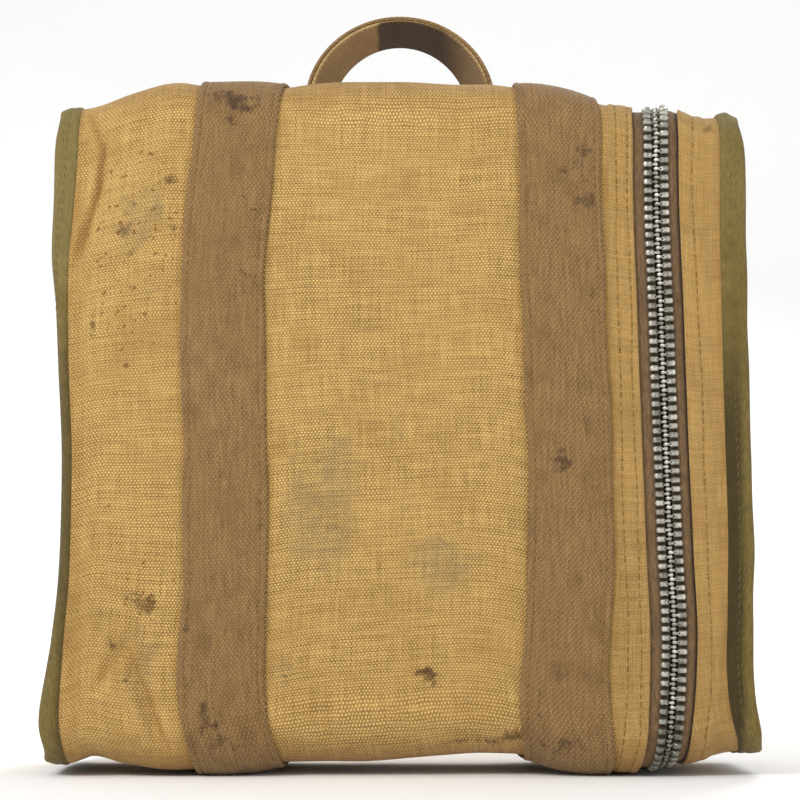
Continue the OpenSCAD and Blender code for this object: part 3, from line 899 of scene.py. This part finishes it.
def soil_canvas(piece):
    """Stains, bleached patches and rust specks, near where the real ones are, and in the last mask painted
    shade towards the bottom and top, beside the seams and along the creases, and a darkening beside the
    bands.
    """
    x, y, z = points_in_mm(piece)
    facing = on_front(y)
    dark = spots(
        x, z, facing,
        (12, 37, 5.5, 3.0, 1.2), (9, 40, 4, 3, 0.9), (30, 13, 20, 2.4, 0.85), (44, 17, 8, 3, 0.9),
        (-104, 68, 5, 2.4, 1.0), (-96, 63, 4, 6, 0.9), (-93, 66, 2, 5, 0.9), (-104, 206, 5, 5, 0.8),
        (-88, 226, 6, 5, 0.75), (-98, 216, 8, 6, 0.7), (-41, 38, 4, 3, 0.9), (119, 245, 4, 4, 0.9),
        (109, 30, 3, 10, 0.4), (-116, 170, 2.4, 7, 0.9), (-102, 196, 3, 4, 0.8), (-86, 206, 3, 7, 0.8),
        (-107, 50, 5, 8, 0.6), (-100, 36, 8, 4, 0.55), (-8, 78, 26, 3, 0.55), (20, 88, 10, 3, 0.6),
        (-108, 92, 6, 20, 0.45), (-76, 26, 6, 8, 0.55), (8, 190, 20, 20, 0.3), (0, 252, 30, 8, 0.4),
    )
    grey = spots(
        x, z, facing,
        (-23, 118, 7, 16, 1.0), (0, 132, 5, 10, 0.8), (14, 82, 16, 10, 0.9), (-42, 40, 8, 6, 0.8),
        (-56, 60, 8, 30, 0.5), (4, 108, 6, 14, 0.6), (36, 120, 8, 30, 0.4), (-40, 190, 10, 20, 0.4),
        (-100, 206, 9, 14, 1.0), (-94, 216, 10, 7, 0.9), (-95, 44, 8, 20, 0.9), (-30, 100, 18, 20, 0.7),
        (16, 74, 10, 10, 0.8), (-26, 86, 12, 14, 0.6), (-96, 182, 12, 7, 0.6), (-38, 110, 5, 40, 0.5),
    )
    specks = spots(
        x, z, facing, (-97, 212, 24, 36, 1.15), (-108, 165, 14, 40, 0.75), (-100, 74, 16, 40, 0.75),
        (0, 140, 120, 160, 0.36),
    )
    by_band = 0
    for side in (-1, 1):
        centre = across(band_u(side, front(z * MM)), z * MM) / MM
        by_band = by_band + bump(np.abs(x - centre), BAND_W / 2 / MM, 2.4)
    # painted shade towards the bottom and the top, where the cloth turns away, and beside the end seams; a
    # darkening beside the bands
    low_down, high_up = smooth01((24 - z) / 26), smooth01((z - 244) / 18)
    by_seam = smooth01((np.abs(x) - 116) / 6)
    tan = np.max([low_down, 0.55 * high_up, 0.5 * by_band, 0.45 * by_seam], 0)
    # painted shade along the creases of the folds
    for x0, z0, x1, z1 in ((-119, 251, -113, 238), (-113, 238, -114.5, 222), (-114.5, 222, -121, 196),
                           (-101, 48, -86, 10)):
        t = np.clip(((x - x0) * (x1 - x0) + (z - z0) * (z1 - z0)) / ((x1 - x0) ** 2 + (z1 - z0) ** 2), 0, 1)
        off = np.hypot(x - x0 - t * (x1 - x0), z - z0 - t * (z1 - z0))
        tan = np.maximum(tan, 0.9 * bump(off, 0, 1.0) * facing)
    paint(piece, dark, grey, specks, tan)


# ---------------------------------------------------------------- webbing bands


def band_lift(s):
    """The bands ride up over the sewn ends of the handle."""
    return 1.5 * MM * smooth01((19 * MM - np.abs(signed_s(s) - on_top(0.0))) / (4 * MM))


def band(name, side, node):
    """Webbing all round, with thick lips outside the rows of stitches near its edges."""
    half = BAND_W / 2
    lip = [(-half, 0.5), (-half + 0.25 * MM, 0.8), (-half + 0.9 * MM, 1.0), (-half + 1.9 * MM, 0.97),
           (-half + 2.6 * MM, 0.82), (-half + 3.3 * MM, 0.97)]
    middle = [(x * MM, 1.0) for x in (-10, -6, -2, 2, 6, 10)]
    top = lip + middle + [(-x, h) for x, h in lip[::-1]]
    width, heights = np.array(top + [(half - 0.5 * MM, 0.0), (-half + 0.5 * MM, 0.0)]).T
    heights = heights * BAND_T + 0.1 * MM
    s = round_the_loop(340) + 0 * width
    edge_wave = 0.3 * MM * np.sin(s / (9 * MM) + side) * np.sign(width) * (np.abs(width) > 12 * MM)
    lift = heights + band_lift(s) * (heights > 0.2 * MM)
    points = cloth(band_u(side, s) + width + edge_wave, s, lift)
    uv = np.stack([width + 0 * s + side * 0.2, s], -1)
    piece = swept_piece(name, points, uv, WEBBING, LOOP)
    x, y, z = points_in_mm(piece)
    facing = np.maximum(on_front(y), smooth01((z - 250) / 8) * (y < 20))
    stains = (
        (62, 120, 3.4, 6, 1.2), (58, 117, 4, 3, 1.0), (70, 218, 5, 8, 0.85), (64, 230, 9, 7, 0.65),
        (72, 238, 6, 5, 0.6), (80, 100, 4, 6, 0.5), (52, 28, 3, 14, 0.7), (72, 180, 6, 10, 0.45),
        (62, 12, 14, 6, 0.7), (74, 108, 4, 5, 0.6),
    ) if side > 0 else (
        (-60, 254, 8, 4, 1.1), (-68, 259, 8, 3, 0.9), (-64, 247, 4, 4, 0.9), (-79, 56, 3, 12, 0.8),
        (-72, 24, 7, 10, 0.8), (-62, 12, 12, 6, 0.7), (-80, 140, 3, 10, 0.5), (-54, 200, 4, 14, 0.6),
        (-58, 216, 5, 6, 0.6), (-52, 96, 4, 20, 0.5), (-58, 184, 10, 10, 0.4),
    )
    paint(piece, spots(x, z, facing, *stains))
    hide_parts(node)
    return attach(piece, "pouch")


# ---------------------------------------------------------------- end panels


def end_panel(name, side, body, node):
    """Canvas across the end. It bulges a little where the filling pushes it."""
    s = round_the_loop(220)
    rings = np.concatenate([[0.0, 0.6, 2.0, 4.0, 7.0], np.linspace(11, END_DEPTH / MM, 14)]) * MM
    share = rings / END_DEPTH
    edge, normal = cloth_frame(side * SEAM_U, s)
    spine = shape(side * SEAM_U, s)
    spine[..., 1] = 0
    spine[..., 2] = np.clip(spine[..., 2], BASE_Z + END_DEPTH, END_TOP_Z - END_DEPTH)
    outer = edge * (1 - share[:, None]) + spine * share[:, None]
    y, z = outer[..., 1], outer[..., 2]
    puff = 5.0 * MM * smooth01(share / 0.9) * (0.6 + 0.4 * np.sin(z / (61 * MM)) ** 2)
    crinkle = 0.5 * MM * np.sin(y / (9 * MM) + z / (23 * MM)) * np.sin(z / (17 * MM))
    outer[..., 0] = end_x(side, z) + side * (puff + crinkle * smooth01(share / 0.25))
    inner = outer - side * CANVAS_T * np.array([1, 0, 0])
    outer[:, :1] = edge - normal * 1.1 * MM
    inner[:, :1] = edge - normal * 2.1 * MM
    outer = np.concatenate([flange(side, s, TAIL[::-1], -1.9 * MM), outer], 1)
    inner = np.concatenate([flange(side, s, TAIL[::-1], -1.1 * MM), inner], 1)
    piece = sheet_piece(name, outer, inner, outer[..., 1:] * (side, 1), CANVAS, None, 0.0)
    edit_mesh(piece, weld)
    _, y, z = points_in_mm(piece)
    dark = spots(y, z, 1.0, (0, 40, 30, 26, 0.45), (-30, 200, 14, 30, 0.4))
    paint(piece, dark, 0.0, spots(y, z, 1.0, (0, 120, 60, 140, 0.35)))
    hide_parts(node)
    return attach(piece, body)


# ---------------------------------------------------------------- zip


def zip_tape(name, side, body, node):
    """Tape under the teeth, with a cord along its inner edge and its outer edge under the hem."""
    s = np.linspace(under(ZIP_END_Y + 5 * MM), on_top(ZIP_END_Y + 5 * MM), 260)[:, None]
    offsets = np.array([1.5, 2.0, 2.6, 4.0, 6.5, 9.0, 12.0, 15.0, 17.6]) * MM
    cord_height = np.array([0.35, 0.75, 0.35, 0, 0, 0, 0, 0, 0]) * MM
    u = zip_u(s) + side * offsets
    outer = cloth(u, s, CHAIN_LIFT + 0.3 * MM + cord_height)
    inner = cloth(u, s, CHAIN_LIFT - 0.3 * MM - cord_height)
    uv = np.stack([side * offsets + 0 * u, s + 0 * u], -1)
    piece = sheet_piece(name, outer[:, ::side], inner[:, ::side], uv[:, ::side], ZIP_TAPE)
    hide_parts(node)
    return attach(piece, body)


TOOTH_PITCH = 3.43 * MM
LAST_TOOTH_Y = low("zip_slider").y + 12.5 * MM


def tooth_outline():
    """Half of a tooth seen from in front, from its round head to its two feet on the tape."""
    head = [(-0.15 - 0.8 * math.cos(a), 0.8 * math.sin(a)) for a in np.radians([0, 36, 72, 108, 140])]
    foot = [(0.85, 0.36), (1.25, 0.42), (1.55, 0.92), (2.1, 1.1), (4.3, 1.08), (4.85, 0.8), (5.05, 0.0)]
    return head + foot


def teeth(name, side, body, node, from_s, to_s):
    """The teeth of one side between two places along the loop. The sides are half a pitch apart."""
    half = tooth_outline()
    outline = np.array(half + [(x, -y) for x, y in half[-2:0:-1]]) * MM
    centre = np.array([2.2, 0.0]) * MM
    levels = [(-1.5, 0.82), (-1.0, 1.0), (0.9, 1.0), (1.4, 0.88), (1.7, 0.6)]
    # the head stands up, the neck behind it is low, and the feet are as high as the tooth gets
    relative = through(
        outline[:, 0] / MM, (-1.1, 0.8), (-0.2, 0.8), (0.8, 0.3), (1.3, 0.35), (1.9, 1.0), (5.4, 0.95))
    first = under(ZIP_END_Y) + 6 * MM + (TOOTH_PITCH / 2 if side > 0 else 0.0)
    s = first + TOOTH_PITCH * np.arange(200)
    s = s[(s >= from_s) & (s < to_s)]
    point, normal = cloth_frame(zip_u(s), s)
    ahead, behind = s + 0.5 * MM, s - 0.5 * MM
    along = cloth(zip_u(ahead), ahead) - cloth(zip_u(behind), behind)
    along /= np.linalg.norm(along, axis=1, keepdims=True)
    sideways = np.cross(along, normal) * side
    point, normal, along, sideways = (v[:, None] for v in (point, normal, along, sideways))
    rings = []
    for rise, scale in levels:
        flat = centre + (outline - centre) * scale
        up = np.where(rise > 0, rise * relative, rise) * MM + CHAIN_LIFT + 0.1 * MM
        rings.append(point + sideways * flat[:, :1] + along * flat[:, 1:] + normal * up[:, None])
    piece = many_solids(name, np.stack(rings, 1), TEETH)
    edit_mesh(piece, face_outwards)
    piece.data.set_sharp_from_angle(angle=math.radians(50))
    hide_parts(node)
    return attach(piece, body)


# ---------------------------------------------------------------- stitching


def stitch_piece(name, rows, material, body, radius):
    """Short rounded thread stitches, from rows of start points, end points and outward directions."""
    starts, ends, normals = (np.concatenate(parts) for parts in zip(*rows))
    along = ends - starts
    along /= np.linalg.norm(along, axis=1, keepdims=True)
    side = np.cross(normals, along)
    side /= np.linalg.norm(side, axis=1, keepdims=True)
    angles = np.radians(np.arange(0, 360, 60))[:, None]
    rings = []
    steps = ((0.0, 0.15, -0.9), (0.12, 0.8, -0.1), (0.5, 1.0, 0.25), (0.88, 0.8, -0.1), (1.0, 0.15, -0.9))
    for t, scale, rise in steps:
        centre = starts * (1 - t) + ends * t + normals * rise * radius
        spoke = side[:, None] * np.cos(angles) + normals[:, None] * np.sin(angles)
        rings.append(centre[:, None] + spoke * radius * scale)
    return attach(many_solids(name, np.stack(rings, 1), material), body)


def row_of_stitches(at, from_s, to_s, slant=0.0):
    """Start points, end points and normals of one row, where at(s, sideways) gives a place."""
    s = np.arange(from_s, to_s, STITCH)
    starts, normals = at(s, -slant / 2)
    ends, _ = at(s + STITCH_LENGTH, slant / 2)
    return starts, ends, normals


def on_cloth(across_at, lift_at):
    """Places for stitches on the cloth, from where they run across it and how high they lie."""
    def at(s, sideways):
        point, normal = cloth_frame(across_at(s) + sideways, s)
        return point + normal * lift_at(s)[:, None], normal
    return at


def on_flange(side, out, lift):
    """Places for stitches on the binding of a seam."""
    def at(s, sideways):
        here = np.full_like(s, out + sideways)
        point, raised = (flange(side, s, here, np.full_like(s, rise)) for rise in (lift, lift + MM))
        return point, (raised - point) / MM
    return at


def hem_stitching():
    """Two rows along the pouch's hem beside the zip, and one along the lid's."""
    span = SLIT_FROM + 4 * MM, SLIT_TO - 4 * MM

    def in_hem(s):
        return HEM_LIFT - 0.36 * MM + 0 * s

    def pouch_row(k):
        return on_cloth(lambda s: zip_u(s) - BODY_SLIT - body_rows(s)[k], in_hem)

    lid_row = on_cloth(lambda s: zip_u(s) + LID_SLIT + lid_rows(s)[1], in_hem)
    pouch = [row_of_stitches(pouch_row(k), *span) for k in (0, 1)]
    stitch_piece("pouch_hem_stitching", pouch, THREAD, "pouch", 0.3 * MM)
    stitch_piece("lid_hem_stitching", [row_of_stitches(lid_row, *span)], THREAD, "lid", 0.3 * MM)


def band_stitching():
    """One row near each edge of both bands."""
    def on_band(s):
        return 0.82 * BAND_T + 0.12 * MM + band_lift(s)

    def edge_row(side, edge):
        offset = edge * (BAND_W / 2 - 2.6 * MM)
        return on_cloth(lambda s: band_u(side, s) + offset, on_band)

    places = [edge_row(side, edge) for side in (-1, 1) for edge in (-1, 1)]
    rows = [row_of_stitches(place, 0.0, LOOP - STITCH) for place in places]
    stitch_piece("band_stitching", rows, WEB_THREAD, "pouch", 0.24 * MM)


def binding_stitching(name, side, body):
    """Two rows of slanting stitches through the binding of one end."""
    rows = [row_of_stitches(on_flange(side, out, 0.64 * MM), 0.0, LOOP - STITCH, 1.1 * MM)
            for out in (4.1 * MM, 5.6 * MM)]
    stitch_piece(name, rows, OLIVE_THREAD, body, 0.22 * MM)


# ---------------------------------------------------------------- handle


def handle_layer(name, outer_r, material, node, inner=False):
    """One layer of the handle's arch. The arch leans back, and it is pinched in towards its back edge."""
    webbing_t = 1.5 * MM
    arch_z = MID_TOP_Z - 3.8 * MM
    pivot_z = MID_TOP_Z + 9 * MM
    lean = math.radians(10)
    foot_angle = math.asin((MID_TOP_Z + 1.4 * MM - arch_z + webbing_t) / outer_r)
    angles = np.linspace(math.pi - foot_angle, foot_angle, 72)[:, None]
    mid_r = outer_r - webbing_t / 2
    lip = [(0.4, 1.0), (0.74, 0.95), (0.8, 0.8), (0.86, 0.95), (0.95, 1.0), (0.985, 0.7)]
    section = [(-1, 0.0)] + [(-w, h) for w, h in lip[::-1]] + [(0.0, 1.0)] + lip
    width, thick = np.array(section + [(1, 0.0)] + [(-w, -h) for w, h in section[1:]]).T
    pinched = (width + 1) / 2
    radius = mid_r + thick * webbing_t / 2
    x = radius * np.cos(angles) * (1 - 0.19 * pinched)
    height = radius * np.sin(angles) + arch_z - pivot_z
    y = width * HANDLE_W / 2 + height * math.sin(lean)
    z = pivot_z + height * math.cos(lean) - 2.6 * MM * pinched * np.sin(angles)
    points = np.stack([x, y, z], -1)
    s = np.concatenate([[0], np.cumsum(np.linalg.norm(np.diff(points[:, 0], axis=0), axis=1))])
    uv = np.stack([width * HANDLE_W / 2 + 0 * x, s[:, None] + 0 * x], -1)
    piece = swept_piece(name, points, uv, material)
    x, y, z = points_in_mm(piece)
    worn = 0.8 * bump(x, 6, 10) * (z > 296) * (y > -8)
    # the inner layer lies in shade under its lap, from a little left of the middle to the right
    under_arch = np.hypot(x / (1 - 0.1 * (y + 16) / 32), z - arch_z / MM) < mid_r / MM
    shaded = smooth01((x + 9.2) / 0.8) * (1 - 0.6 * smooth01((x - 14) / 16)) * under_arch
    paint(piece, worn, shaded * inner)
    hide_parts(node)
    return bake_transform(piece)


def handle_foot(name, side, node):
    """The sewn end of the handle, flat on the top and running under a band."""
    half = [(0, 1), (6, 1), (12, 1), (15, 1), (15.8, 0.8), (16, 0.5)]
    width, thick = np.array([(-w, h) for w, h in half[:0:-1]] + half).T * MM
    u = side * np.linspace(34.5, 66, 24)[:, None] * MM
    upper = cloth(u, on_top(width), thick * 1.35 + 0.08 * MM)
    lower = cloth(u, on_top(width[::-1]), 0.05 * MM)
    points = np.concatenate([upper, lower], 1)
    uv = np.stack([np.concatenate([width, width[::-1]]) + 0 * u, u + 0 * points[..., 0]], -1)
    piece = swept_piece(name, points, uv, HANDLE_WEBBING)
    paint(piece)
    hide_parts(node)
    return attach(piece, "pouch")


# ---------------------------------------------------------------- building


canvas()
band("left_band_webbing", -1, "left_band")
band("right_band_webbing", 1, "right_band")
end_panel("left_end_canvas", -1, "pouch", "left_end_panel")
end_panel("lid_end_canvas", 1, "lid", "lid_end_panel")
binding("left_seam_binding", -1, "pouch", "left_binding")
binding("right_seam_binding", 1, "lid", "right_binding")
zip_tape("pouch_side_tape", -1, "pouch", "body_zip_tape")
zip_tape("lid_side_tape", 1, "lid", "lid_zip_tape")
LOW_S = under(ZIP_END_Y)
TEETH_END = on_top(LAST_TOOTH_Y)
teeth("pouch_side_teeth", -1, "pouch", "body_zip_teeth", LOW_S, TOP_S)
teeth("pouch_side_top_teeth", -1, "pouch", "body_top_run_teeth", TOP_S, TEETH_END)
teeth("lid_side_teeth", 1, "lid", "lid_zip_teeth", LOW_S, TOP_S)
teeth("lid_side_top_teeth", 1, "lid", "lid_top_run_teeth", TOP_S, TEETH_END)
hem_stitching()
band_stitching()
binding_stitching("left_binding_stitching", -1, "pouch")
binding_stitching("right_binding_stitching", 1, "lid")
handle_foot("handle_left_foot", -1, "handle_left_end")
handle_foot("handle_right_foot", 1, "handle_right_end")
handle_layer("handle_outer", 38 * MM, HANDLE_WEBBING, "handle_outer_webbing")
handle_layer("handle_inner", 36.4 * MM, LIT_INNER_WEBBING, "handle_inner_webbing", inner=True)

# the small metal parts keep their CAD shape, with worn edges
for node in ("zip_slider", "slider_bail", "pull_tab", "body_top_stop", "lid_top_stop", "bottom_stop"):
    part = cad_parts[node]
    part.data.materials.clear()
    part.data.materials.append(HARDWARE)
    soften = part.modifiers.new("worn_edges", "BEVEL")
    soften.width, soften.segments, soften.limit_method = 0.25 * MM, 2, "ANGLE"

# ---------------------------------------------------------------- floor, light and camera


def backdrop():
    """A pale floor that sweeps up far behind the pouch."""
    turn, far, side = 0.8, 1.9, 4.0
    profile = [(-5.0, 0.0), (far, 0.0)]
    profile += [(far + turn * math.sin(a), turn * (1 - math.cos(a))) for a in np.radians(range(10, 91, 10))]
    profile.append((far + turn, 4.0))
    points = np.array([[(x, y, z - 0.02 * MM) for x in (-side, side)] for y, z in profile])
    cells = quads(len(profile), 2, False, False)[0].reshape(-1, 4)
    f = Finish("floor", Base_Color=(0.97, 0.97, 0.965, 1), Roughness=0.9, Specular_IOR_Level=0.1)
    new_piece("floor", points, cells, np.zeros((len(cells), 4, 2)), f.material)


def soft_light(name, place, size, power):
    """A round lamp that points at the middle of the pouch."""
    data = bpy.data.lights.new(name, "AREA")
    data.shape, data.size, data.energy = "DISK", size, power
    aim(in_scene(name, data), place, Vector((0, 0, 0.13)) - Vector(place))


def aim(thing, place, direction):
    """Stands a lamp or camera somewhere and turns it to look in a direction."""
    thing.location = place
    thing.rotation_mode = "QUATERNION"
    thing.rotation_quaternion = Vector(direction).to_track_quat("-Z", "Y")


def studio():
    """Even white light from all round, a key lamp at the front left, a weak fill and a lamp behind."""
    world = bpy.data.worlds.new("studio")
    world.use_nodes = True
    colour, strength = world.node_tree.nodes["Background"].inputs[:2]
    colour.default_value = (1, 1, 1, 1)
    strength.default_value = 0.72
    bpy.context.scene.world = world
    soft_light("key", (-1.1, -1.5, 1.3), 0.7, 25)
    soft_light("fill", (1.5, -1.3, 0.6), 1.2, 5)
    soft_light("rear", (0.6, 1.8, 1.6), 1.2, 26)


def camera():
    """In front and a little low, as the pouch is seen from just under the middle of its height."""
    distance, front_gap, rise = 0.90, 0.85, math.radians(5)
    half_width, aim_z = 150.2 * MM, 141.3 * MM  # what the view takes in at the front of the pouch
    data = bpy.data.cameras.new("camera")
    data.sensor_width = 36
    data.lens = data.sensor_width / 2 * front_gap / half_width
    view = in_scene("camera", data)
    aim(view, (0, -distance, aim_z - front_gap * math.tan(rise)), (0, math.cos(rise), math.sin(rise)))
    bpy.context.scene.camera = view


backdrop()
studio()
camera()
bpy.context.scene.view_settings.view_transform = "Standard"

bpy.context.view_layer.update()
